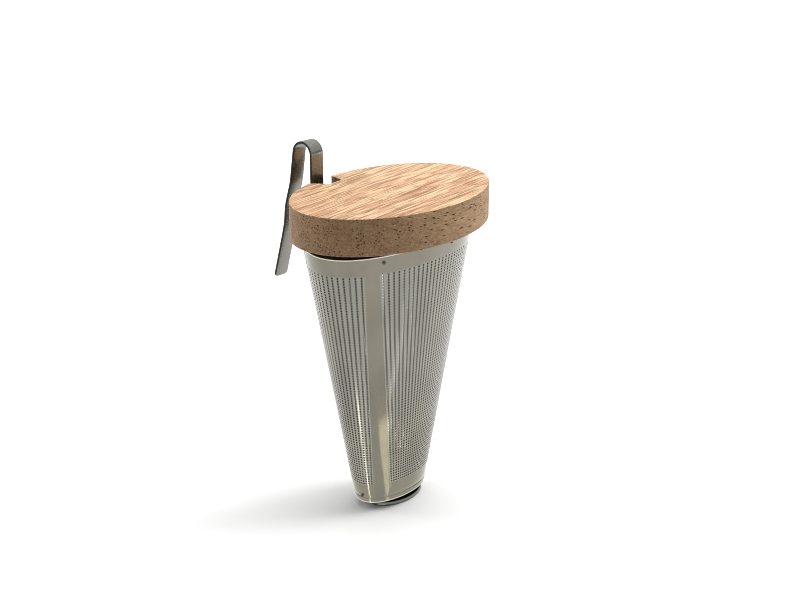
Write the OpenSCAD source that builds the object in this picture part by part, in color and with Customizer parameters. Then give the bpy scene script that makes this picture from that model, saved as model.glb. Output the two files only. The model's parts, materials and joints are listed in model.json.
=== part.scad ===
// Hanging tea strainer: an oval beech lid on a perforated oval cone of sheet steel,
// with a bent strap that hooks over the rim of a mug.
// X runs along the oval's long axis, +Y points to the strap, Z = 0 is the underside of the base.

/* [Lid] */
// Length of the oval lid
lid_length = 64.2; // [58:0.2:72]
// Width of the oval lid
lid_width = 43; // [40:0.2:46]
// Thickness of the lid's board
lid_thickness = 9.3; // [8:0.1:11]
// How far the board's middle stands off the cone's axis, away from the strap
lid_offset = 0.8; // [0:0.1:1.2]
// Height of the lid's underside above the mean rim of the cone
lid_gap = 1.4; // [1.4:0.1:3]
// How far the locating plug reaches below the mean rim
plug_depth = 3.6; // [2.5:0.1:5]

/* [Notch] */
// Depth of the notch, from the middle of the lid's long side
notch_depth = 5.2; // [5:0.1:5.8]
// Width of the notch at its floor
notch_floor_width = 5.4; // [5.2:0.1:7]
// Width of the notch at its mouth
notch_mouth_width = 10; // [9.6:0.1:12]
// Sideways place of the notch's middle
notch_shift = -1.8; // [-2:0.1:-1.6]

/* [Strainer cone] */
// Length of the oval at the mean rim, over the sheet
rim_length = 55.8; // [53:0.2:57]
// Width of the oval at the mean rim, over the sheet
rim_width = 36.4; // [35:0.1:36.6]
// Height of the cone, from the sheet's lower edge to the mean rim
cone_height = 71.5; // [60:0.1:76]
// Height from the cone's imaginary apex to the mean rim
apex_to_rim = 125.6; // [110:0.1:140]
// Thickness of the sheet
sheet = 0.4; // [0.3:0.05:0.6]

/* [Seam] */
// Width of the strip by which the sheet's inner edge laps behind the outer one
seam_width = 4.2; // [3:0.1:5]
// Place of the seam round the oval
seam_angle = 214.9; // [190:0.1:240]

/* [Base cup] */
// Height of the cup's flange inside the cone
cup_flange = 4; // [2:0.1:5]
// How far the cup's floor stands below the cone's lower edge
cup_drop = 2.4; // [2:0.1:3]
// Length of the cup's oval foot
foot_length = 18.8; // [15:0.2:20]
// Width of the cup's oval foot
foot_width = 12.2; // [10:0.2:13]
// Thickness of the foot, under the narrower neck
foot_thickness = 1.1; // [0.6:0.1:1.4]
// Sideways place of the foot's middle, along the oval's long axis
foot_shift = 0.7; // [-0.8:0.1:0.8]
// How far the foot's middle stands off the cone's axis, away from the strap
foot_offset = 1; // [0:0.1:1]

/* [Strap clip] */
// Width of the strap
strap_width = 4.6; // [3.6:0.1:4.8]
// Thickness of the strap
strap_thickness = 0.6; // [0.4:0.05:0.8]
// Sideways place of the strap's middle
strap_shift = -1.9; // [-2.3:0.1:-1]
// Turn of the strap about the vertical
strap_turn = -6; // [-8:0.5:0]
// Distance of the inner leg's middle from the oval's long axis
leg_y = 21.4; // [21:0.1:23]
// Height of the arch above the lid's top, over the strap
arch_rise = 9.8; // [8:0.1:14]
// Radius of the arch, at the strap's middle
arch_radius = 3.05; // [2.6:0.05:3.6]
// How far the tongue's tip hangs below the lid's top
tongue_drop = 28.8; // [24:0.2:34]

/* [Hidden] */

around = 120;                               // points round an oval
apex_z = cup_drop + cone_height - apex_to_rim;
rim_z = cup_drop + cone_height;             // mean height of the rim
slope_x = rim_length / 2 / apex_to_rim;     // the oval's half length per height over the apex
slope_y = rim_width / 2 / apex_to_rim;
// A flat fan of sheet bent to an oval cone keeps every row at one slant distance from the apex,
// so each row, and the rim, dips at the long ends and rises at the long sides.
dip = (pow(rim_length / 2, 2) - pow(rim_width / 2, 2)) / 4 / pow(apex_to_rim, 2);

lid_bottom = rim_z + lid_gap;
lid_top = lid_bottom + lid_thickness;
fit_gap = 0.06;                             // play between pieces that touch
lap_thickness = 0.25;
spot_radius = 0.45;
spot_height = 0.12;
rim_spot_turns = [seam_angle + 8, 273.5, 324, 15];
rim_spot_drop = 1.7;
base_spot_turn = 36.3;                      // from the seam round to the nearer mark at the foot

// A point on the sheet's outer face. h is the height over the apex before the dip,
// and out moves it along the oval's normal.
function on_cone(h, turn, out) =
    let (normal = [cos(turn) / slope_x, sin(turn) / slope_y], unit = normal / norm(normal))
    [slope_x * h * cos(turn) + unit[0] * out,
     slope_y * h * sin(turn) + unit[1] * out,
     apex_z + h * (1 - dip * cos(2 * turn))];

// Half width of a strip, as an angle round the oval at the seam
function strip_turn(h, half_width) =
    half_width / (h * norm([slope_x * sin(seam_angle), slope_y * cos(seam_angle)])) * 180 / PI;

module oval(length, width) {
    polygon([for (i = [0 : around - 1]) let (turn = i * 360 / around)
        [length / 2 * cos(turn), width / 2 * sin(turn)]]);
}

// A closed skin of sheet between two heights over the apex, and between two offsets
module oval_skin(h_low, h_high, out_inner, out_outer) {
    corners = [[h_low, out_outer], [h_high, out_outer], [h_high, out_inner], [h_low, out_inner]];
    points = [for (i = [0 : around - 1]) for (c = corners) on_cone(c[0], i * 360 / around, c[1])];
    faces = [for (i = [0 : around - 1]) for (k = [0 : 3])
        let (j = (i + 1) % around, m = (k + 1) % 4)
        each [[i * 4 + k, i * 4 + m, j * 4 + m], [i * 4 + k, j * 4 + m, j * 4 + k]]];
    polyhedron(points, faces);
}

// A closed strip of sheet that runs up the seam
module seam_strip(h_low, h_high, half_width, out_inner, out_outer) {
    steps = 6;
    corners = [[h_low, out_outer], [h_high, out_outer], [h_high, out_inner], [h_low, out_inner]];
    points = [for (i = [0 : steps]) for (c = corners)
        on_cone(c[0], seam_angle + (2 * i / steps - 1) * strip_turn(c[0], half_width), c[1])];
    sides = [for (i = [0 : steps - 1]) for (k = [0 : 3])
        let (j = i + 1, m = (k + 1) % 4)
        each [[i * 4 + k, i * 4 + m, j * 4 + m], [i * 4 + k, j * 4 + m, j * 4 + k]]];
    last = steps * 4;
    ends = [[0, 2, 1], [0, 3, 2], [last, last + 1, last + 2], [last, last + 2, last + 3]];
    polyhedron(points, concat(sides, ends));
}

// A weld spot: a low round button on the sheet's outer face
module spot(h, turn, out) {
    place = on_cone(h, turn, out);
    facing = atan2(sin(turn) / slope_y, cos(turn) / slope_x);
    lean = atan((slope_x + slope_y) / 2);
    translate(place) rotate([0, 90 + lean, facing]) translate([0, 0, -spot_height])
        cylinder(h = 2 * spot_height, r = spot_radius, $fn = 24);
}

module notch() {
    floor_y = lid_width / 2 - notch_depth;
    reach = 4;      // past the lid's edge
    flare = (notch_mouth_width - notch_floor_width) / 2 * (1 + reach / notch_depth);
    translate([notch_shift, 0])
        polygon([[-notch_floor_width / 2, floor_y], [notch_floor_width / 2, floor_y],
                 [notch_floor_width / 2 + flare, lid_width / 2 + reach],
                 [-notch_floor_width / 2 - flare, lid_width / 2 + reach]]);
}

module lid() {
    color("burlywood") translate([0, -lid_offset, lid_bottom]) linear_extrude(lid_thickness)
        difference() {
            oval(lid_length, lid_width);
            notch();
        }
}

// The dark seal under the board, which centres it in the cone and closes the mouth at the notch
module lid_plug() {
    plug_h = apex_to_rim - plug_depth;
    plug_play = 0.5 + sheet;
    color("dimgray") translate([0, 0, rim_z - plug_depth]) linear_extrude(plug_depth + lid_gap)
        oval(2 * (slope_x * plug_h - plug_play), 2 * (slope_y * plug_h - plug_play));
}

module strainer_wall() {
    color("silver") oval_skin(apex_to_rim - cone_height, apex_to_rim, -sheet, 0);
}

module seam_lap() {
    inner_face = -sheet - fit_gap;
    color("lightgray")
        seam_strip(apex_to_rim - cone_height + cup_flange + 0.3, apex_to_rim - 0.2, seam_width / 2,
                   inner_face - lap_thickness, inner_face);
}

module base_cup() {
    low_h = apex_to_rim - cone_height;
    cup_wall = 0.4;
    plate_z = cup_drop + 0.4;
    plate_inset = sheet + fit_gap + cup_wall / 2;
    neck_step = 1.2;        // from the foot's edge in to the neck
    color("dimgray") {
        translate([foot_shift, -foot_offset, 0]) {
            linear_extrude(foot_thickness) oval(foot_length, foot_width);
            linear_extrude(plate_z + cup_wall)
                oval(foot_length - 2 * neck_step, foot_width - 2 * neck_step);
        }
        translate([0, 0, plate_z]) linear_extrude(cup_wall)
            oval(2 * (slope_x * low_h - plate_inset), 2 * (slope_y * low_h - plate_inset));
        oval_skin(low_h + 0.3, low_h + cup_flange, -sheet - cup_wall - fit_gap, -sheet - fit_gap);
    }
}

// The strap's path, as [distance out from the inner leg, height], then its outline
function arc(centre, radius, from, to, steps) =
    [for (i = [0 : steps]) let (a = from + (to - from) * i / steps) centre + radius * [cos(a), sin(a)]];
function walk(start, tilt, drop) = start + drop * [tan(tilt), -1];
wall_rise = 1 + dip;        // at the long side the sheet stands this much taller
function wall_y(z) = slope_y * (z - apex_z) / wall_rise * sqrt(1 - pow(strap_shift / (rim_length / 2), 2));
tab_gap = 0.3 + strap_thickness / 2;
tab_low = rim_z - 3.2;
tab_high = rim_z + 1;
leg_low = lid_top - 1.6;
arch_z = lid_top + arch_rise - strap_thickness / 2 - arch_radius;
leg_tilts = [8.5, 17, 6, 15.3];             // of the tongue's four straight runs, from the vertical
knee_drops = [1.8, 8.2, 13.8];              // from the lid's top down to the bends between them
tab_path = [for (z = [tab_low, tab_high]) [wall_y(z) + tab_gap - leg_y, z]];
bend_path = [for (i = [1 : 12]) let (u = i / 12, ease = u * u * (3 - 2 * u))
    [tab_path[1][0] * (1 - ease), tab_high + (leg_low - tab_high) * u]];
arch_path = arc([arch_radius, arch_z], arch_radius, 180, leg_tilts[0], 20);
knee_1 = walk(arch_path[20], leg_tilts[0], arch_path[20][1] - (lid_top - knee_drops[0]));
knee_2 = walk(knee_1, leg_tilts[1], knee_drops[1] - knee_drops[0]);
knee_3 = walk(knee_2, leg_tilts[2], knee_drops[2] - knee_drops[1]);
tip = walk(knee_3, leg_tilts[3], knee_3[1] - (lid_top - tongue_drop));
strap_path = concat(tab_path, bend_path, arch_path, [knee_1, knee_2, knee_3, tip]);

function heading(path, i) =
    let (a = path[max(i - 1, 0)], b = path[min(i + 1, len(path) - 1)]) (b - a) / norm(b - a);
function side(path, out) =
    [for (i = [0 : len(path) - 1]) let (d = heading(path, i)) path[i] + out * [-d[1], d[0]]];
function reversed(list) = [for (i = [len(list) - 1 : -1 : 0]) list[i]];

module clip_strap() {
    color("gray")
        translate([strap_shift, leg_y, 0]) rotate([0, 0, strap_turn]) rotate([90, 0, 90])
            linear_extrude(strap_width, center = true)
                polygon(concat(side(strap_path, strap_thickness / 2),
                               reversed(side(strap_path, -strap_thickness / 2))));
}

module rim_weld_spots() {
    color("dimgray") for (turn = rim_spot_turns) spot(apex_to_rim - rim_spot_drop, turn, 0.02);
}

module base_weld_spots() {
    color("dimgray") for (turn = [seam_angle - base_spot_turn, seam_angle - base_spot_turn + 180])
        spot(apex_to_rim - cone_height + 2.1, turn, 0.02);
}

module clip_weld_spots() {
    color("dimgray") for (z = [tab_low + 1, tab_low + 2.6])
        translate([strap_shift, wall_y(z) + tab_gap + strap_thickness / 2, z])
            rotate([-90 - atan(slope_y), 0, 0]) translate([0, 0, -spot_height])
                cylinder(h = 2 * spot_height, r = spot_radius, $fn = 24);
}

lid();
lid_plug();
strainer_wall();
seam_lap();
base_cup();
clip_strap();
rim_weld_spots();
base_weld_spots();
clip_weld_spots();
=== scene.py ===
import json
import math

import bpy
import numpy as np
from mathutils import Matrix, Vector

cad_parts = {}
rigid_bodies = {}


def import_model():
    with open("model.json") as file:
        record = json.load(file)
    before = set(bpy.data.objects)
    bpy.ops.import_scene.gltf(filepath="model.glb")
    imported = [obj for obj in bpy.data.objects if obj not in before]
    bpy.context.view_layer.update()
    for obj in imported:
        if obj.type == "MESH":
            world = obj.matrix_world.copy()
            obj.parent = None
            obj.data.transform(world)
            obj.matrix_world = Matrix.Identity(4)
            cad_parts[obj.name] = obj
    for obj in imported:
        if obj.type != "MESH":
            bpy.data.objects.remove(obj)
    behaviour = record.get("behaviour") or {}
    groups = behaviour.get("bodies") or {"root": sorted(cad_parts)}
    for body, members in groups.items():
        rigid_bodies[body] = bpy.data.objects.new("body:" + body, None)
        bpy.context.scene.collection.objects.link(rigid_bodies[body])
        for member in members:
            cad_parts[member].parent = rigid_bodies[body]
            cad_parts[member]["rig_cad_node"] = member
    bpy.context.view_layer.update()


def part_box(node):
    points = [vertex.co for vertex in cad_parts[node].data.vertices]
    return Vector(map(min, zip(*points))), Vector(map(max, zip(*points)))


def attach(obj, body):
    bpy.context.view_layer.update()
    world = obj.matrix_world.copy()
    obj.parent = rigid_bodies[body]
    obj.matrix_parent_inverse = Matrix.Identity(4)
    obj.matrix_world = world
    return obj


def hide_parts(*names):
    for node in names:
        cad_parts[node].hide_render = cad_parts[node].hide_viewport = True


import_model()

MM = 0.001

# ---------------------------------------------------------------- sizes
# The oval cone, worked out from the wall's own box
APEX_TO_RIM = 125.6 * MM
SHEET = 0.4 * MM
SEAM_TURN = math.radians(214.9)
wall_low, wall_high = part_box("strainer_wall")
slope_x = wall_high.x / APEX_TO_RIM
slope_y = wall_high.y / APEX_TO_RIM
dip = (wall_high.x**2 - wall_high.y**2) / 4 / APEX_TO_RIM**2
apex_z = wall_high.z - APEX_TO_RIM * (1 + dip)
low_h = (wall_low.z - apex_z) / (1 - dip)      # height over the apex of the sheet's lower edge

# The perforation
RIM_BAND = 5.1 * MM
BASE_BAND = 6.1 * MM
ROWS = 82
COLUMNS = 92
HOLE_HALF_WIDTH = 0.31 * MM
HOLE_HALF_HEIGHT = 0.265 * MM
SEAM_GAP = 5.3 * MM          # between the columns of holes on either side of the seam
SEAM_STEPS = 6               # faces across the plain seam
HOLE_SIDES = 8               # two for each side of its cell

# The lid and its notch
lid_low, lid_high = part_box("lid")
LID_OFFSET = 0.8 * MM
LID_WIDTH = 43 * MM
NOTCH_DEPTH = 5.2 * MM
NOTCH_FLOOR = 5.4 * MM
NOTCH_MOUTH = 10 * MM
NOTCH_SHIFT = -1.8 * MM
plug_low, plug_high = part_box("lid_plug")

# The cup under the cone
CUP_DROP = 2.4 * MM
FOOT_LENGTH = 18.8 * MM
FOOT_WIDTH = 12.2 * MM
FOOT_THICKNESS = 1.1 * MM
FOOT_SHIFT = 0.7 * MM
FOOT_OFFSET = 1.0 * MM
NECK_STEP = 1.2 * MM
CUP_FLANGE = 4.0 * MM
CUP_WALL = 0.4 * MM
CUP_GAP = 0.06 * MM          # between the cup's flange and the sheet

# The strap clip
STRAP_WIDTH = 4.6 * MM
STRAP_THICKNESS = 0.6 * MM
STRAP_SHIFT = -1.9 * MM
STRAP_TURN = math.radians(-6)
LEG_Y = 21.4 * MM
ARCH_RISE = 9.8 * MM
ARCH_RADIUS = 3.05 * MM
# The outer leg: how far below the lid's top each straight run ends, and how it leans
KNEE_DROPS = [d * MM for d in (1.8, 8.2, 13.8, 28.8)]
LEG_TILTS = [math.radians(a) for a in (8.5, 17, 6, 15.3)]

rim_z = apex_z + APEX_TO_RIM
lid_top = lid_high.z
lid_bottom = lid_low.z


# ---------------------------------------------------------------- node helpers
class Nodes:
    """A short way to write a material's node tree."""

    def __init__(self, name):
        self.mat = bpy.data.materials.new(name)
        self.mat.use_nodes = True
        self.tree = self.mat.node_tree
        self.shader = self.tree.nodes["Principled BSDF"]

    def add(self, kind, values=None, **props):
        node = self.tree.nodes.new(kind)
        for key, value in props.items():
            setattr(node, key, value)
        for key, value in (values or {}).items():
            node.inputs[key].default_value = value
        return node

    def link(self, a, b):
        self.tree.links.new(a, b)

    def place(self, scale):
        """Object coordinates in metres, scaled along each axis."""
        coords = self.add("ShaderNodeTexCoord")
        mapping = self.add("ShaderNodeMapping", {"Scale": scale})
        self.link(coords.outputs["Object"], mapping.inputs["Vector"])
        return mapping.outputs["Vector"]

    def noise(self, vector, scale=1.0, detail=3.0, rough=0.5):
        values = {"Scale": scale, "Detail": detail, "Roughness": rough}
        node = self.add("ShaderNodeTexNoise", values)
        self.link(vector, node.inputs["Vector"])
        return node.outputs["Fac"]

    def spread(self, value, low, high, to_low=0.0, to_high=1.0):
        """The run from low to high, mapped onto another run and stopped at its ends."""
        limits = {"From Min": low, "From Max": high, "To Min": to_low, "To Max": to_high}
        node = self.add("ShaderNodeMapRange", limits)
        self.link(value, node.inputs["Value"])
        return node.outputs["Result"]

    def math(self, how, a, b):
        node = self.add("ShaderNodeMath", operation=how)
        for socket, value in zip(node.inputs, (a, b)):
            if isinstance(value, (int, float)):
                socket.default_value = value
            else:
                self.link(value, socket)
        return node.outputs["Value"]

    def mix(self, factor, a, b):
        """Colour a where the factor is 0 and colour b where it is 1."""
        node = self.add("ShaderNodeMix", data_type="RGBA")
        colour_a, colour_b = node.inputs[6], node.inputs[7]
        for socket, value in ((node.inputs["Factor"], factor), (colour_a, a), (colour_b, b)):
            if isinstance(value, (int, float)):
                socket.default_value = value
            elif isinstance(value, tuple):
                socket.default_value = (*value, 1)
            else:
                self.link(value, socket)
        mixed_colour = node.outputs[2]
        return mixed_colour

    def bump(self, height, strength, distance):
        node = self.add("ShaderNodeBump", {"Strength": strength, "Distance": distance})
        self.link(height, node.inputs["Height"])
        self.link(node.outputs["Normal"], self.shader.inputs["Normal"])

    def set(self, **sockets):
        """Even values for the shader, each named after its socket with _ for a space."""
        for name, value in sockets.items():
            self.shader.inputs[name.replace("_", " ")].default_value = value


# ---------------------------------------------------------------- materials
def beech():
    """Sanded beech with its grain along X.

    Its top has streaks, its sides pores (dots on end grain, dashes elsewhere) and a darker painted
    shade.
    """
    n = Nodes("beech")
    zones = n.noise(n.place((22, 45, 60)), detail=3, rough=0.5)
    bands = n.noise(n.place((45, 520, 500)), detail=4, rough=0.65)
    streaks = n.noise(n.place((100, 2700, 2300)), detail=2, rough=0.5)
    hairs = n.noise(n.place((110, 2500, 2500)), detail=1, rough=0.5)
    colour = n.mix(n.spread(zones, 0.42, 0.6), (0.385, 0.228, 0.127), (0.32, 0.17, 0.094))
    colour = n.mix(n.spread(bands, 0.5, 0.66, 0.0, 0.3), colour, (0.47, 0.32, 0.19))
    colour = n.mix(n.spread(bands, 0.46, 0.34, 0.0, 0.25), colour, (0.30, 0.155, 0.08))
    colour = n.mix(n.spread(streaks, 0.51, 0.58, 0.0, 0.75), colour, (0.60, 0.435, 0.275))
    colour = n.mix(n.spread(hairs, 0.48, 0.4, 0.0, 0.75), colour, (0.15, 0.074, 0.035))

    coords = n.add("ShaderNodeTexCoord")
    facing = n.add("ShaderNodeSeparateXYZ")
    n.link(coords.outputs["Normal"], facing.inputs["Vector"])
    # the sides are painted darker than the top, as painted shade for light from above; their pores and
    # speckles are end grain
    side = n.spread(n.math("ABSOLUTE", facing.outputs["Z"], 0), 0.3, 0.8, 1.0, 0.0)
    cross = n.noise(n.place((1300, 2000, 2200)), detail=2, rough=0.6)
    side_tone_and_shade = n.mix(n.spread(bands, 0.4, 0.62), (0.212, 0.134, 0.070), (0.176, 0.107, 0.055))
    side_tone_and_shade = n.mix(n.spread(streaks, 0.5, 0.64, 0.0, 0.5), side_tone_and_shade, (0.29, 0.185, 0.096))
    side_tone_and_shade = n.mix(n.spread(cross, 0.5, 0.66, 0.0, 0.55), side_tone_and_shade, (0.12, 0.07, 0.036))
    side_tone_and_shade = n.mix(n.spread(cross, 0.46, 0.34, 0.0, 0.35), side_tone_and_shade, (0.30, 0.19, 0.10))
    colour = n.mix(side, colour, side_tone_and_shade)

    flecks = n.add("ShaderNodeTexVoronoi", {"Scale": 1.0, "Randomness": 1.0}, feature="F1")
    n.link(n.place((290, 2000, 2000)), flecks.inputs["Vector"])
    pick = n.add("ShaderNodeSeparateColor")
    n.link(flecks.outputs["Color"], pick.inputs["Color"])
    pore = n.math("MULTIPLY", n.spread(flecks.outputs["Distance"], 0.22, 0.34, 1.0, 0.0),
                  n.spread(pick.outputs["Red"], 0.52, 0.58))
    pore_depth = n.math("MULTIPLY", pore, n.spread(side, 0, 1, 0.3, 1.0))
    colour = n.mix(pore_depth, colour, (0.018, 0.008, 0.004))
    n.link(colour, n.shader.inputs["Base Color"])
    n.link(n.spread(bands, 0.3, 0.7, 0.5, 0.62), n.shader.inputs["Roughness"])
    n.set(Specular_IOR_Level=0.12)
    n.bump(n.math("SUBTRACT", n.math("MULTIPLY", hairs, 2.0), pore), 0.7, 0.1 * MM)
    return n.mat


def steel(name, colour, rough, grain=(900, 900, 60), marks=0.12, foot_painted_light=None):
    """Satin stainless steel: faint rolling marks along the sheet and slight clouds in its polish.

    A second colour makes the steel brighter towards the foot: painted light against the floor's shadow
    that it mirrors.
    """
    n = Nodes(name)
    clouds = n.noise(n.place((110, 110, 80)), detail=3)
    lines = n.noise(n.place(grain), scale=6, detail=4, rough=0.65)
    tone = colour
    if foot_painted_light:
        split = n.add("ShaderNodeSeparateXYZ")
        n.link(n.place((1, 1, 1)), split.inputs["Vector"])
        tone = n.mix(n.spread(split.outputs["Z"], low_h + apex_z, rim_z), foot_painted_light, colour)
    tone = n.mix(n.spread(clouds, 0.3, 0.7, 0.16, 0.0), tone, (0.02, 0.02, 0.02))
    n.link(tone, n.shader.inputs["Base Color"])
    n.link(n.spread(lines, 0.3, 0.7, rough - 0.04, rough + 0.06), n.shader.inputs["Roughness"])
    n.set(Metallic=1.0)
    n.bump(n.math("ADD", n.math("MULTIPLY", lines, 0.3), clouds), marks, 0.03 * MM)
    return n.mat


def weld():
    """Oxidised weld mark, mottled dark brown."""
    n = Nodes("weld_mark")
    mottled = n.noise(n.place((2400, 2400, 2400)), detail=4)
    tone = n.mix(n.spread(mottled, 0.35, 0.65), (0.035, 0.03, 0.022), (0.11, 0.09, 0.07))
    n.link(tone, n.shader.inputs["Base Color"])
    n.set(Metallic=0.8, Roughness=0.5)
    n.bump(mottled, 0.4, 0.03 * MM)
    return n.mat


def plug_shade():
    """Matt near-black with a fine grain: painted shade for the dark gap between the lid and the rim.
    """
    n = Nodes("plug_painted_shade")
    grain = n.noise(n.place((1500, 1500, 1500)), detail=3)
    tone = n.mix(n.spread(grain, 0.3, 0.7), (0.010, 0.009, 0.008), (0.020, 0.018, 0.016))
    n.link(tone, n.shader.inputs["Base Color"])
    n.set(Roughness=0.65, Specular_IOR_Level=0.25)
    n.bump(grain, 0.3, 0.03 * MM)
    return n.mat


BEECH = beech()
PLAIN_STEEL = steel("plain_steel", (0.212, 0.198, 0.159), 0.15, marks=0.05)
# the punched sheet is painted brighter towards its foot, as painted light in place of the floor's
# shadow that it mirrors there
PUNCHED_STEEL = steel("punched_steel", (0.25, 0.246, 0.21), 0.18, marks=0.05,
                      foot_painted_light=(0.36, 0.352, 0.303))
# the inside of the sheet, dark: painted shade for the dim inside of the cone
SHADED_INNER_STEEL = steel("inner_steel_painted_shade", (0.075, 0.07, 0.057), 0.4)
# the holes' walls, near-black: painted shade inside the holes
HOLE_SHADE = steel("hole_painted_shade", (0.012, 0.011, 0.009), 0.5)
# the sheet's cut edges, far paler than its faces: painted highlight for the bright lines along the rim
# and the foot
CUT_EDGE_HIGHLIGHT = steel("cut_edge_painted_highlight", (0.6, 0.58, 0.48), 0.3)
STRAP_STEEL = steel("strap_steel", (0.225, 0.22, 0.195), 0.24, marks=0.02, grain=(120, 900, 900))
# the strap's narrow sides, near-black: painted shade along its edges
STRAP_EDGE_SHADE = steel("strap_edge_painted_shade", (0.03, 0.028, 0.025), 0.4)
CUP_STEEL = steel("cup_steel", (0.19, 0.19, 0.165), 0.4)
# the neck, the plate and the foot's hollow, near-black: painted shade under the cone
NECK_SHADE = steel("neck_painted_shade", (0.02, 0.02, 0.018), 0.5)
WELD = weld()
# the plug under the lid, near-black: painted shade in the gap between the lid and the rim
PLUG_SHADE = plug_shade()


# ---------------------------------------------------------------- mesh helpers
class Skin:
    """Points and faces gathered for one piece, each face with the number of its material."""

    def __init__(self):
        self.points = []
        self.faces = []
        self.tints = []

    def add(self, block):
        """Takes an array of points and gives back their numbers in the same arrangement."""
        start = len(self.points)
        flat = np.asarray(block, dtype=float).reshape(-1, 3)
        self.points.extend(flat)
        return start + np.arange(len(flat)).reshape(np.shape(block)[:-1])

    def face(self, ids, tint=0):
        self.faces.append([int(i) for i in ids])
        self.tints.append(tint)

    def hoop(self, low, high, tint=0):
        """Quads between two rings of the same count."""
        count = len(low)
        for i in range(count):
            j = (i + 1) % count
            self.face([low[i], low[j], high[j], high[i]], tint)

    def piece(self, name, materials, body, node, sharp=35):
        """A mesh piece in metres that stands for one CAD node and rides on its body."""
        mesh = bpy.data.meshes.new(name)
        mesh.from_pydata([tuple(p) for p in self.points], [], self.faces)
        for material in materials:
            mesh.materials.append(material)
        mesh.polygons.foreach_set("material_index", self.tints)
        mesh.polygons.foreach_set("use_smooth", [True] * len(mesh.polygons))
        mesh.set_sharp_from_angle(angle=math.radians(sharp))
        obj = bpy.data.objects.new(name, mesh)
        bpy.context.scene.collection.objects.link(obj)
        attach(obj, body)
        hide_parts(node)
        return obj


def bevel(obj, width, segments):
    """Round the piece's sharp edges."""
    mod = obj.modifiers.new("edge", "BEVEL")
    mod.width = width
    mod.segments = segments
    mod.limit_method = "ANGLE"
    mod.angle_limit = math.radians(30)
    mod.harden_normals = False
    with bpy.context.temp_override(object=obj):
        bpy.ops.object.modifier_apply(modifier=mod.name)
    obj.data.set_sharp_from_angle(angle=math.radians(50))


# ---------------------------------------------------------------- the oval cone
def on_cone(h, turn, out):
    """Points at a height over the apex, a turn round the oval and a distance out of the outer face."""
    h, turn, out = np.broadcast_arrays(h, turn, out)
    normal = np.stack([np.cos(turn) / slope_x, np.sin(turn) / slope_y])
    normal = normal / np.hypot(*normal)
    return np.stack([slope_x * h * np.cos(turn) + normal[0] * out,
                     slope_y * h * np.sin(turn) + normal[1] * out,
                     apex_z + h * (1 - dip * np.cos(2 * turn))], axis=-1)


# Length along the oval per height over the apex, from the seam once round
table_turn = np.linspace(SEAM_TURN, SEAM_TURN + 2 * math.pi, 4001)
table_step = np.hypot(slope_x * np.sin(table_turn), slope_y * np.cos(table_turn))
table_pieces = (table_step[1:] + table_step[:-1]) / 2 * np.diff(table_turn)
table_arc = np.concatenate([[0], np.cumsum(table_pieces)])
ROUND = table_arc[-1]


def turn_at(h, distance):
    """The turn round the oval that lies this far along it from the seam's middle."""
    return np.interp(np.mod(distance / h, ROUND), table_arc, table_turn)


def column_pitch(h):
    return (ROUND * h - SEAM_GAP) / (COLUMNS - 1)


def edge_distances(h):
    """Where the cells' side edges lie at one height, then the steps across the plain seam."""
    pitch = column_pitch(h)
    cells = SEAM_GAP / 2 + (np.arange(COLUMNS + 1) - 0.5) * pitch
    seam = np.linspace(cells[-1], ROUND * h + cells[0], SEAM_STEPS + 1)[1:-1]
    return np.concatenate([cells, seam])


# INSIDE and HOLE carry dark painted shade, and EDGE a pale painted highlight
PLAIN, PUNCHED, INSIDE, EDGE, HOLE = range(5)      # numbers of the sheet's materials
LIP = 0.06 * MM              # rounding of the sheet's cut edges
TOP_ROW = APEX_TO_RIM - RIM_BAND
ROW_PITCH = (TOP_ROW - low_h - BASE_BAND) / (ROWS - 1)
AROUND = COLUMNS + SEAM_STEPS


def row_h(j):
    return TOP_ROW - j * ROW_PITCH


def cone_ring(h, out):
    return on_cone(h, turn_at(h, edge_distances(h)), out)


def punched_cells(skin, first, last, outer, inner):
    """Each cell: four five-sided faces round its hole, outside and inside, and the hole's own wall."""
    angles = np.arange(HOLE_SIDES) * 2 * math.pi / HOLE_SIDES
    for j in range(first, last):
        h = row_h(j)
        middle = SEAM_GAP / 2 + np.arange(COLUMNS) * column_pitch(h)
        hole_h = h + HOLE_HALF_HEIGHT * np.sin(angles)[None, :]
        hole_turn = turn_at(h, middle[:, None] + HOLE_HALF_WIDTH * np.cos(angles)[None, :])
        front = skin.add(on_cone(hole_h, hole_turn, 0.0))
        back = skin.add(on_cone(hole_h, hole_turn, -SHEET))
        high, low = j - first, j - first + 1
        for i in range(COLUMNS):
            corners = [(low, i + 1), (high, i + 1), (high, i), (low, i)]
            for side in range(4):
                a, b = corners[side], corners[(side + 1) % 4]
                near = [(2 * side + 1) % HOLE_SIDES, 2 * side, (2 * side - 1) % HOLE_SIDES]
                skin.face([outer[a], outer[b], *front[i, near]], PUNCHED)
                skin.face([*back[i, near[::-1]], inner[b], inner[a]], INSIDE)
            for k in range(HOLE_SIDES):
                m = (k + 1) % HOLE_SIDES
                skin.face([front[i, k], front[i, m], back[i, m], back[i, k]], HOLE)
        for i in range(COLUMNS, AROUND):
            m = (i + 1) % AROUND
            skin.face([outer[low, i], outer[low, m], outer[high, m], outer[high, i]], PLAIN)
            skin.face([inner[high, i], inner[high, m], inner[low, m], inner[low, i]], INSIDE)


def run_over(skin, first, profile, last, last_tint=INSIDE):
    """Rings of quads along a profile of (height, out, material), from one ring to another."""
    ring = first
    for h, out, tint in profile:
        following = skin.add(cone_ring(h, out))
        skin.hoop(ring, following, tint)
        ring = following
    skin.hoop(ring, last, last_tint)


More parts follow.
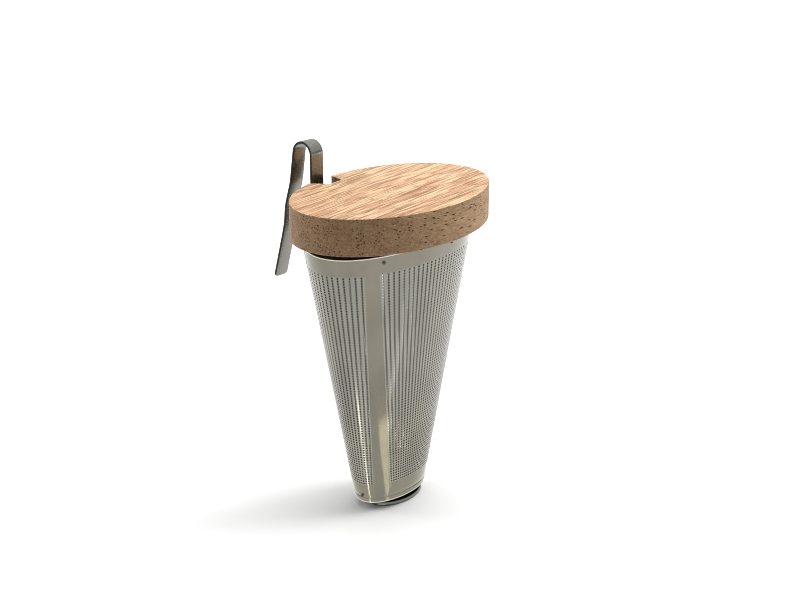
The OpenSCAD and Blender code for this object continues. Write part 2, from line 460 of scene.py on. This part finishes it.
def rim_profile(start):
    """Up the outside, round the rim's cut edge, and down the inside."""
    rim = APEX_TO_RIM
    steps = np.linspace(start, rim - 0.3 * MM, 6)[1:]
    profile = [(h, 0.0, PLAIN) for h in steps]
    profile += [(rim - LIP, 0.0, EDGE), (rim, -LIP, EDGE)]
    profile += [(rim, LIP - SHEET, EDGE), (rim - LIP, -SHEET, EDGE)]
    return profile + [(h, -SHEET, INSIDE) for h in steps[::-1]]


def foot_profile(start):
    """Down the inside, round the lower edge, and up over the crimped line to the perforation."""
    line, dent = 1.5 * MM, 0.1 * MM
    steps = np.linspace(start, low_h + line + 3 * dent, 5)[1:]
    profile = [(h, -SHEET, INSIDE) for h in steps]
    profile += [(low_h + LIP, -SHEET, INSIDE), (low_h, LIP - SHEET, EDGE), (low_h, -LIP, EDGE)]
    profile += [(low_h + LIP, 0.0, EDGE), (low_h + 0.3 * MM, 0.0, EDGE)]
    profile += [(low_h + line - 2 * dent, 0.0, PLAIN)]
    profile += [(low_h + line - dent / 2, -dent, PLAIN), (low_h + line + dent / 2, -dent, PLAIN)]
    return profile + [(low_h + line + 2 * dent, 0.0, PLAIN)] + [(h, 0.0, PLAIN) for h in steps[-2::-1]]


def wall_part(name, first, last):
    """A run of rows as one closed skin, with every hole cut right through the sheet."""
    skin = Skin()
    edges = TOP_ROW + ROW_PITCH / 2 - np.arange(first, last + 1) * ROW_PITCH
    outer = skin.add(np.stack([cone_ring(h, 0.0) for h in edges]))
    inner = skin.add(np.stack([cone_ring(h, -SHEET) for h in edges]))
    punched_cells(skin, first, last, outer, inner)
    run_over(skin, outer[0], rim_profile(edges[0]) if first == 0 else [], inner[0])
    if last == ROWS:
        run_over(skin, inner[-1], foot_profile(edges[-1]), outer[-1], last_tint=PLAIN)
    else:
        run_over(skin, inner[-1], [], outer[-1])
    materials = [PLAIN_STEEL, PUNCHED_STEEL, SHADED_INNER_STEEL, CUT_EDGE_HIGHLIGHT, HOLE_SHADE]
    skin.piece(name, materials, "strainer", "strainer_wall")


wall_part("sheet_upper", 0, ROWS // 2)
wall_part("sheet_lower", ROWS // 2, ROWS)


# ---------------------------------------------------------------- lid
def rounded_corner(before, corner, after, reach):
    """A smooth curve that starts and ends a reach away from the corner."""
    before, corner, after = (np.array(p) for p in (before, corner, after))
    start = corner + (before - corner) * min(1, reach / np.hypot(*(before - corner)))
    end = corner + (after - corner) * min(1, reach / np.hypot(*(after - corner)))
    u = np.linspace(0, 1, 8)[:, None]
    return list((1 - u) ** 2 * start + 2 * u * (1 - u) * corner + u**2 * end)


def notched_oval(half_x, half_y):
    """The board's outline, anticlockwise, with the notch in its +Y side."""
    floor_y = half_y - NOTCH_DEPTH
    flare = (NOTCH_MOUTH - NOTCH_FLOOR) / 2 / NOTCH_DEPTH

    def mouth(side):
        """Where the oval meets one slanting wall of the notch."""
        turn = math.pi / 2
        for _ in range(20):
            x = NOTCH_SHIFT + side * (NOTCH_FLOOR / 2 + flare * (half_y * math.sin(turn) - floor_y))
            turn = math.acos(x / half_x)
        return turn

    def on_oval(turn):
        return (half_x * math.cos(turn), half_y * math.sin(turn))

    soft, crisp = 1.6 * MM, 0.5 * MM      # reach of the rounding on the notch's corners
    left, right = mouth(-1), mouth(1)
    floor_left = (NOTCH_SHIFT - NOTCH_FLOOR / 2, floor_y)
    floor_right = (NOTCH_SHIFT + NOTCH_FLOOR / 2, floor_y)
    turns = np.linspace(left + soft / half_x, right + 2 * math.pi - crisp / half_x, 230)
    outline = [on_oval(t) for t in turns]
    outline += rounded_corner(outline[-1], on_oval(right), floor_right, crisp)[1:]
    outline += rounded_corner(on_oval(right), floor_right, floor_left, crisp)
    outline += rounded_corner(floor_right, floor_left, on_oval(left), crisp)
    outline += rounded_corner(floor_left, on_oval(left), outline[0], soft)[:-1]
    return np.array(outline)


def inset_oval(half_x, half_y, inset=0.0):
    """An oval outline, pulled in by the same amount all round."""
    count = 160
    turns = np.arange(count) * 2 * math.pi / count
    normal = np.stack([np.cos(turns) / half_x, np.sin(turns) / half_y])
    normal /= np.hypot(*normal)
    return np.stack([half_x * np.cos(turns) - normal[0] * inset,
                     half_y * np.sin(turns) - normal[1] * inset], axis=-1)


def level(outline, z, middle=(0, 0)):
    """A flat outline as points at one height."""
    return np.column_stack([outline + np.array(middle), np.full(len(outline), z)])


def wooden_lid():
    """The notched board, with its edges rounded."""
    board = notched_oval(lid_high.x, LID_WIDTH / 2)
    skin = Skin()
    low = skin.add(level(board, lid_bottom, (0, -LID_OFFSET)))
    high = skin.add(level(board, lid_top, (0, -LID_OFFSET)))
    skin.hoop(low, high)
    skin.face(low[::-1])
    skin.face(high)
    lid = skin.piece("beech_lid", [BEECH], "lid", "lid")
    bevel(lid, 0.22 * MM, segments=3)


def lid_plug():
    """The plug, with a rounded foot and a sealing bead round its middle, near-black as painted shade.
    """
    half_x, half_y = plug_high.x, plug_high.y
    bead = 0.35 * MM
    tall = lid_bottom - plug_low.z
    # each step is an inset from the plug's outline and a height over its underside
    profile = [(1.4 * MM, 0.0), (0.8 * MM, 0.0), (0.45 * MM, 0.12 * MM), (0.36 * MM, 0.4 * MM)]
    profile += [(bead, tall * 0.30), (0.10 * MM, tall * 0.36)]
    profile += [(0.0, tall * 0.42), (0.10 * MM, tall * 0.48)]
    profile += [(bead, tall * 0.54), (bead, tall * 0.8), (bead, tall)]
    skin = Skin()
    rings = []
    for inset, z in profile:
        rings.append(skin.add(level(inset_oval(half_x, half_y, inset), plug_low.z + z)))
    skin.face(rings[0][::-1])
    for low, high in zip(rings, rings[1:]):
        skin.hoop(low, high)
    skin.face(rings[-1])
    skin.piece("shaded_plug", [PLUG_SHADE], "lid", "lid_plug", sharp=45)


wooden_lid()
lid_plug()


# ---------------------------------------------------------------- cup under the cone
# the second of the cup's materials is the near-black painted shade
CUP, NECK = range(2)         # numbers of the cup's materials


def add_foot(skin, neck_top):
    """The foot with its hollow underside and rolled edge, and the neck above it."""
    hollow = 0.45 * MM
    bead = 0.25 * MM           # rounding of the foot's edge
    bevelled = 0.3 * bead
    thick = FOOT_THICKNESS
    # each step is an inset from the foot's outline, a height and a material
    # the hollow underside and the neck take the painted shade
    steps = [(2.3 * MM, hollow, NECK), (1.5 * MM, hollow, NECK)]
    steps += [(1.15 * MM, 0.08 * MM, CUP), (0.95 * MM, 0.0, CUP)]
    steps += [(bead, 0.0, CUP), (bevelled, bevelled, CUP), (0.0, bead, CUP)]
    steps += [(0.0, thick - bead, CUP), (bevelled, thick - bevelled, CUP), (bead, thick, CUP)]
    steps += [(NECK_STEP, thick, NECK), (NECK_STEP, neck_top, NECK)]
    ring = None
    for inset, z, tint in steps:
        outline = inset_oval(FOOT_LENGTH / 2, FOOT_WIDTH / 2, inset)
        following = skin.add(level(outline, z, (FOOT_SHIFT, -FOOT_OFFSET)))
        if ring is None:
            skin.face(following[::-1], tint)
        else:
            skin.hoop(ring, following, tint)
        ring = following
    skin.face(ring, NECK)


def add_plate(skin, z):
    """The plate that closes the cone's lower end."""
    plate = inset_oval(slope_x * low_h, slope_y * low_h, SHEET + CUP_GAP + CUP_WALL / 2)
    low, high = skin.add(level(plate, z)), skin.add(level(plate, z + CUP_WALL))
    # the plate takes the painted shade too
    skin.hoop(low, high, NECK)
    skin.face(low[::-1], NECK)
    skin.face(high, NECK)


def add_flange(skin):
    """The band that stands up inside the sheet."""
    turns = np.arange(120) * 2 * math.pi / 120
    near = -SHEET - CUP_GAP
    far = near - CUP_WALL
    start = 0.3 * MM
    corners = [(start, near), (CUP_FLANGE, near), (CUP_FLANGE, far), (start, far)]
    rings = [skin.add(on_cone(low_h + h, turns, out)) for h, out in corners]
    for low, high in zip(rings, rings[1:] + rings[:1]):
        skin.hoop(low, high, CUP)


def base_cup():
    skin = Skin()
    neck_top = CUP_DROP + CUP_WALL
    add_foot(skin, neck_top)
    add_plate(skin, neck_top)
    add_flange(skin)
    materials = [CUP_STEEL, NECK_SHADE]
    skin.piece("base_cup_piece", materials, "strainer", "base_cup", sharp=40)


base_cup()


# ---------------------------------------------------------------- strap clip
def strap_path():
    """The middle line of the strap, and the number of its first point that may be eased.

    Each point is a distance out from the inner leg and a height.
    """
    sideways = math.sqrt(1 - (STRAP_SHIFT / wall_high.x) ** 2)
    tab_gap = 0.3 * MM + STRAP_THICKNESS / 2
    tab_low, tab_high = rim_z - 3.2 * MM, rim_z + 1 * MM
    leg_low = lid_top - 1.6 * MM
    arch_z = lid_top + ARCH_RISE - STRAP_THICKNESS / 2 - ARCH_RADIUS

    def tab(z):
        return slope_y * (z - apex_z) / (1 + dip) * sideways + tab_gap - LEG_Y

    path = [(tab(z), z) for z in np.linspace(tab_low, tab_high, 5)]
    tab_end = tab(tab_high)
    for u in np.linspace(0, 1, 25)[1:]:
        ease = u * u * (3 - 2 * u)
        path.append((tab_end * (1 - ease), tab_high + (leg_low - tab_high) * u))
    for z in np.linspace(leg_low, arch_z, 6)[1:-1]:
        path.append((0.0, z))
    for angle in np.linspace(math.pi, LEG_TILTS[0], 40):
        over = arch_z + ARCH_RADIUS * math.sin(angle)
        path.append((ARCH_RADIUS * (1 + math.cos(angle)), over))
    loose = len(path) + 1
    for tilt, drop in zip(LEG_TILTS, KNEE_DROPS):
        q, z = path[-1]
        for new_z in np.linspace(z, lid_top - drop, 13)[1:]:
            path.append((q + (z - new_z) * math.tan(tilt), new_z))
    return np.array(path), loose


def smooth_path(path, loose, passes):
    """Ease the knees without moving the last point or the points before the loose ones."""
    path = path.copy()
    for _ in range(passes):
        path[loose:-1] = path[loose:-1] * 0.5 + (path[loose - 1:-2] + path[loose + 1:]) * 0.25
    return path


def strap_section(at, heading, half_w):
    """Points round the strap where its middle line is at this place, with its edges rounded."""
    edge = 0.14 * MM
    half_t = STRAP_THICKNESS / 2
    quarter = math.pi / 2
    section = []
    for k, (across, through) in enumerate(((1, 1), (-1, 1), (-1, -1), (1, -1))):
        for a in np.linspace(0, quarter, 4) + k * quarter:
            w = across * (half_w - edge) + edge * math.cos(a)
            t = through * (half_t - edge) + edge * math.sin(a)
            out = at[0] - heading[1] * t
            section.append((STRAP_SHIFT + w * math.cos(STRAP_TURN) - out * math.sin(STRAP_TURN),
                            LEG_Y + w * math.sin(STRAP_TURN) + out * math.cos(STRAP_TURN),
                            at[1] + heading[0] * t))
    return np.array(section)


def strap_clip():
    """The strap as sections along its middle line, with a round-cornered tip."""
    path = smooth_path(*strap_path(), passes=6)
    run = np.concatenate([[0], np.cumsum(np.hypot(*np.diff(path, axis=0).T))])
    headings = np.gradient(path, axis=0)
    headings /= np.hypot(*headings.T)[:, None]
    tip_round = 0.9 * MM
    # the tip is cut finer, so that its round corners show
    finer = run[-1] - tip_round * (1 - np.cos(np.linspace(0, math.pi / 2, 9)))
    stations = np.sort(np.concatenate([run[run[-1] - run > tip_round], finer]))
    skin = Skin()
    rings = []
    for s in stations:
        at = [np.interp(s, run, path[:, k]) for k in range(2)]
        heading = [np.interp(s, run, headings[:, k]) for k in range(2)]
        away = max(run[-1] - s, 0.0)
        half_w = STRAP_WIDTH / 2
        if away < tip_round:
            half_w -= tip_round - math.sqrt(max(tip_round**2 - (tip_round - away) ** 2, 0))
        rings.append(skin.add(strap_section(at, heading, half_w)))
    broad, narrow = range(2)
    broad_sides = (3, 11)      # the faces round a section that lie on the strap's broad sides
    for near, far in zip(rings, rings[1:]):
        for k in range(len(near)):
            m = (k + 1) % len(near)
            tint = broad if k in broad_sides else narrow
            skin.face([near[k], far[k], far[m], near[m]], tint)
    skin.face(rings[0], narrow)
    skin.face(rings[-1][::-1], narrow)
    # the narrow sides and the ends take the near-black painted shade
    materials = [STRAP_STEEL, STRAP_EDGE_SHADE]
    skin.piece("strap", materials, "strainer", "clip_strap", sharp=60)


strap_clip()


# ---------------------------------------------------------------- CAD nodes that stay
def paint(node, material):
    """Give a carried-over CAD node its finished material."""
    obj = next(o for o in bpy.context.scene.objects if o.get("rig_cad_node") == node)
    obj.data.materials.clear()
    obj.data.materials.append(material)
    obj.data.set_sharp_from_angle(angle=math.radians(30))


# the lap inside the seam takes the inside's dark painted shade
paint("seam_lap", SHADED_INNER_STEEL)
for spots in ("rim_weld_spots", "base_weld_spots", "clip_weld_spots"):
    paint(spots, WELD)


# ---------------------------------------------------------------- stage, light and camera
def staged(name, points, faces, **sockets):
    """A matt mesh that belongs to the stage and not to the object."""
    mesh = bpy.data.meshes.new(name)
    mesh.from_pydata(points, [], faces)
    n = Nodes(name)
    n.set(Roughness=1.0, Specular_IOR_Level=0.0, **sockets)
    mesh.materials.append(n.mat)
    obj = bpy.data.objects.new(name, mesh)
    bpy.context.scene.collection.objects.link(obj)
    return obj


def glowing(name, points, faces, colour, strength):
    """A staged mesh that shines evenly, lights nothing matt and casts no shadow."""
    obj = staged(name, points, faces, Base_Color=(0, 0, 0, 1), Emission_Color=(*colour, 1),
                 Emission_Strength=strength)
    obj.visible_diffuse = False
    obj.visible_shadow = False
    return obj


def band(count):
    """Quads between two rings that are numbered one after the other."""
    return [(i, (i + 1) % count, count + (i + 1) % count, count + i) for i in range(count)]


def stage_floor(reach=20.0):
    corners = [(-reach, -reach, 0), (reach, -reach, 0), (reach, reach, 0), (-reach, reach, 0)]
    staged("floor", corners, [(0, 1, 2, 3)], Base_Color=(0.6, 0.6, 0.6, 1))


def stage_backdrop(radius=3.0, height=2.0, count=48):
    """A pale wall round the floor on every side, seen by the camera only."""
    turns = np.arange(count) * 2 * math.pi / count
    ring = np.column_stack([radius * np.cos(turns), radius * np.sin(turns), 0 * turns])
    points = [tuple(p) for p in np.concatenate([ring, ring + (0, 0, height)])]
    wall = glowing("backdrop", points, band(count), (1, 1, 1), 1.0)
    wall.visible_glossy = False


def soft_light(name, place, power):
    """A soft rectangle of light aimed at the object, left out of mirror reflections."""
    light = bpy.data.lights.new(name, "AREA")
    light.shape = "RECTANGLE"
    light.size, light.size_y = 0.4, 0.5
    light.energy = power
    obj = bpy.data.objects.new(name, light)
    obj.location = place
    aim = Vector((0, 0, 50 * MM))
    obj.rotation_euler = (aim - place).to_track_quat("-Z", "Y").to_euler()
    bpy.context.scene.collection.objects.link(obj)
    obj.visible_glossy = False


# The photo's view: the camera looks at the cone's axis from this side and height
VIEW_TURN = math.radians(-55.76)
VIEW_LIFT = math.radians(20.51)
VIEW_DISTANCE = 405.75 * MM
FOCUS_Z = rim_z - 35.4 * MM
AIM_LIFT = math.radians(2.19)        # the camera points this much above and beside that place
AIM_TURN = math.radians(0.40)
LENS = 69.4                          # focal length in mm, on a sensor 36 mm wide

away = Vector((math.sin(VIEW_TURN) * math.cos(VIEW_LIFT),
               -math.cos(VIEW_TURN) * math.cos(VIEW_LIFT),
               math.sin(VIEW_LIFT)))
right = Vector((math.cos(VIEW_TURN), math.sin(VIEW_TURN), 0))
up = away.cross(right)
eye = Vector((0, 0, FOCUS_Z)) + away * VIEW_DISTANCE
look = -away + up * math.tan(AIM_LIFT) + right * math.tan(AIM_TURN)

camera = bpy.data.objects.new("camera", bpy.data.cameras.new("camera"))
bpy.context.scene.collection.objects.link(camera)
camera.location = eye
camera.rotation_euler = look.to_track_quat("-Z", "Y").to_euler()
camera.data.lens = LENS
camera.data.sensor_width = 36
camera.data.clip_start = 0.01
camera.data.clip_end = 60
bpy.context.scene.camera = camera

stage_floor()
stage_backdrop()


def from_camera(side, back, height):
    """A place given in the camera's own left-right and near-far, in metres."""
    flat = Vector((away.x, away.y, 0)).normalized()
    return right * side - flat * back + Vector((0, 0, height))


def soft_sun(power, tilt_side, tilt_back, spread):
    """Even light from above over the whole floor."""
    light = bpy.data.lights.new("soft_sun", "SUN")
    light.energy = power
    light.angle = math.radians(spread)
    obj = bpy.data.objects.new("soft_sun", light)
    source = from_camera(tilt_side, tilt_back, 1.0)
    obj.rotation_euler = (-source).to_track_quat("-Z", "Y").to_euler()
    bpy.context.scene.collection.objects.link(obj)


soft_sun(4.3, tilt_side=0.15, tilt_back=0.25, spread=60)
soft_light("right_light", from_camera(0.7, 0.25, 0.35), 8.2)
soft_light("left_light", from_camera(-0.7, 0.2, 0.35), 4.2)


# ---------------------------------------------------------------- what the polished sheet mirrors
CARD_HEIGHT = 0.3 * MM


def mirrored(turn, over_foot):
    """The floor point that the camera sees mirrored in the cone.

    The place on the cone is given as degrees from the seam and millimetres over the sheet's foot.
    """
    h, t = low_h + over_foot * MM, SEAM_TURN + math.radians(turn)
    point = on_cone(h, t, 0.0)
    along = on_cone(h + MM, t, 0.0) - point
    round_it = on_cone(h, t + 0.001, 0.0) - point
    normal = Vector(np.cross(round_it, along)).normalized()
    ray = (Vector(point) - eye).normalized().reflect(normal)
    return Vector(point) + ray * ((CARD_HEIGHT - point[2]) / ray.z)


def glow_card(name, corners, colour, strength, height=CARD_HEIGHT, hole=None):
    """A level bright card that only mirror reflections see, with an outline and maybe a hole."""
    points = [(c[0], c[1], height) for c in corners]
    faces = [tuple(range(len(points)))]
    if hole is not None:
        faces = band(len(points))
        points += [(c[0], c[1], height) for c in hole]
    card = glowing(name, points, faces, colour, strength)
    card.visible_camera = False


def mirror_card(name, patch, colour, strength):
    """A card on the floor that lights up one patch of the cone for the camera."""
    glow_card(name, [mirrored(*corner) for corner in patch], colour, strength)


# a ring round the foot, in place of the shadow that the floor has there
glow_card("fill_ring", inset_oval(44 * MM, 40 * MM), (1, 1, 0.97), 1.33, 0.15 * MM,
          hole=inset_oval(11 * MM, 7.5 * MM))

# the even grey and the slightly darker patch above it on the cone's near side
grey_patch = [(-11, 24.3), (8.5, 26.6), (12, 26.6), (12, -4), (-12, -4)]
shade_patch = [(-11, 24.4), (-11, 39), (10, 41), (10, 26.7), (8.5, 26.7)]
mirror_card("grey_card", grey_patch, (0.97, 1, 1), 1.21)
mirror_card("shade_card", shade_patch, (1, 1, 1), 1.07)

# the cream highlight low on the seam, and the two bright lines beside it
cream_patch = [(-0.5, 25.5), (8.5, 26.5), (10, 26.5), (10.5, -1), (9.6, -4), (3.8, -4), (4.2, 5)]
cream_patch += [(2.5, 10), (0.2, 15)]
white_line = [(-22.2, 33), (-21.3, 33), (-20.3, -4), (-21.8, -4)]
yellow_line = [(10.2, 31), (11.2, 31), (12.8, 4), (11.4, 4)]
mirror_card("cream_card", cream_patch, (1, 0.93, 0.80), 3.1)
mirror_card("white_strip", white_line, (1, 1, 0.95), 9.0)
mirror_card("yellow_strip", yellow_line, (1, 0.95, 0.68), 3.2)

# a soft box overhead, for the top of the strap's arch
soft_box = inset_oval(3.5, 3.5)[::-1]
glow_card("soft_box", soft_box, (0.93, 0.98, 1), 1.05, height=0.7)

world = bpy.data.worlds.new("studio")
bpy.context.scene.world = world
world.use_nodes = True
background = world.node_tree.nodes["Background"]
background.inputs["Color"].default_value = (1, 1, 1, 1)
background.inputs["Strength"].default_value = 0.32
bpy.context.scene.view_settings.view_transform = "Standard"
# narrower than usual, so that the small holes stay apart
bpy.context.scene.cycles.filter_width = 1.0
